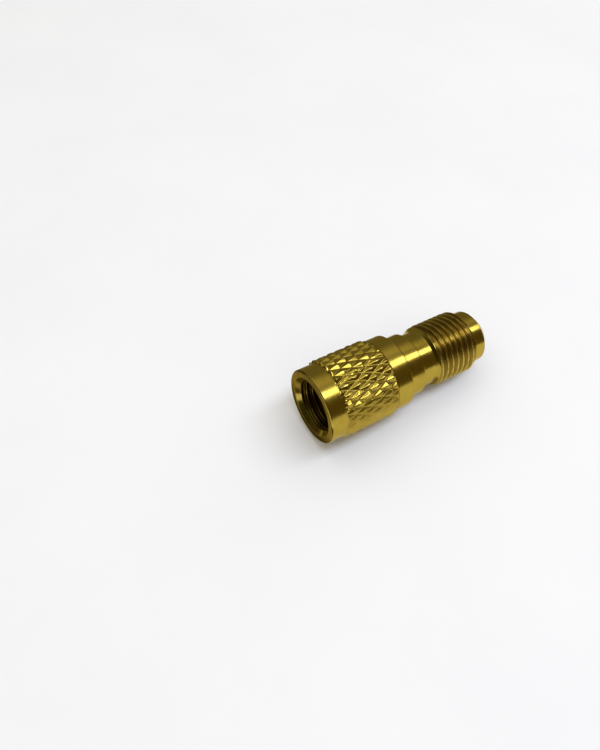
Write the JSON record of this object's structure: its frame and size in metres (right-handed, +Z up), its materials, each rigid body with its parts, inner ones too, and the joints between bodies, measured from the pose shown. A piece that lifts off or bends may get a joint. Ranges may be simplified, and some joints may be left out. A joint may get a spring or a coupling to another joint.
{
  "type": "refrigerant flare adapter",
  "caption": "Straight brass adapter: knurled swivel nut with a female flare thread at one end, male flare with a spring-loaded valve core at the other.",
  "frame": {"origin": "on the axis, in the plane of the swivel nut's mouth", "axes": "+X along the axis, from the female mouth to the male flare's nose; +Z up with the adapter lying on its side"},
  "size_m": [0.0393, 0.0156, 0.0156],
  "materials": {
    "nut_brass": "turned and diamond knurled, bright",
    "body_brass": "turned, bright",
    "core_brass": "turned, satin",
    "spring_steel": "drawn wire",
    "pin_steel": "plated, bright",
    "gasket_rubber": "moulded, matt",
    "seal_ptfe": "turned, waxy"
  },
  "bodies": {
    "adapter": {"adapter_body": "body_brass", "retaining_ring": "spring_steel", "flare_gasket": "gasket_rubber", "core_depressor": "core_brass", "core_head": "core_brass", "core_barrel": "core_brass", "core_barrel_seal": "seal_ptfe", "core_spring": "spring_steel"},
    "nut": {"knurled_nut": "nut_brass"},
    "valve_pin": {"core_pin": "pin_steel", "core_cup": "core_brass", "core_cup_seal": "gasket_rubber"}
  },
  "joints": [
    {"name": "nut_swivel", "type": "hinge", "parent": "adapter", "child": "nut", "pos_m": [0.0145, 0, 0], "axis": [1, 0, 0], "continuous": true},
    {"name": "core_pin_push", "type": "slide", "parent": "adapter", "child": "valve_pin", "axis": [-1, 0, 0], "range_m": [0, 0.0015], "stiffness_N_per_m": 1200, "springref_m": -0.0015, "deforming": ["core_spring"]}
  ]
}
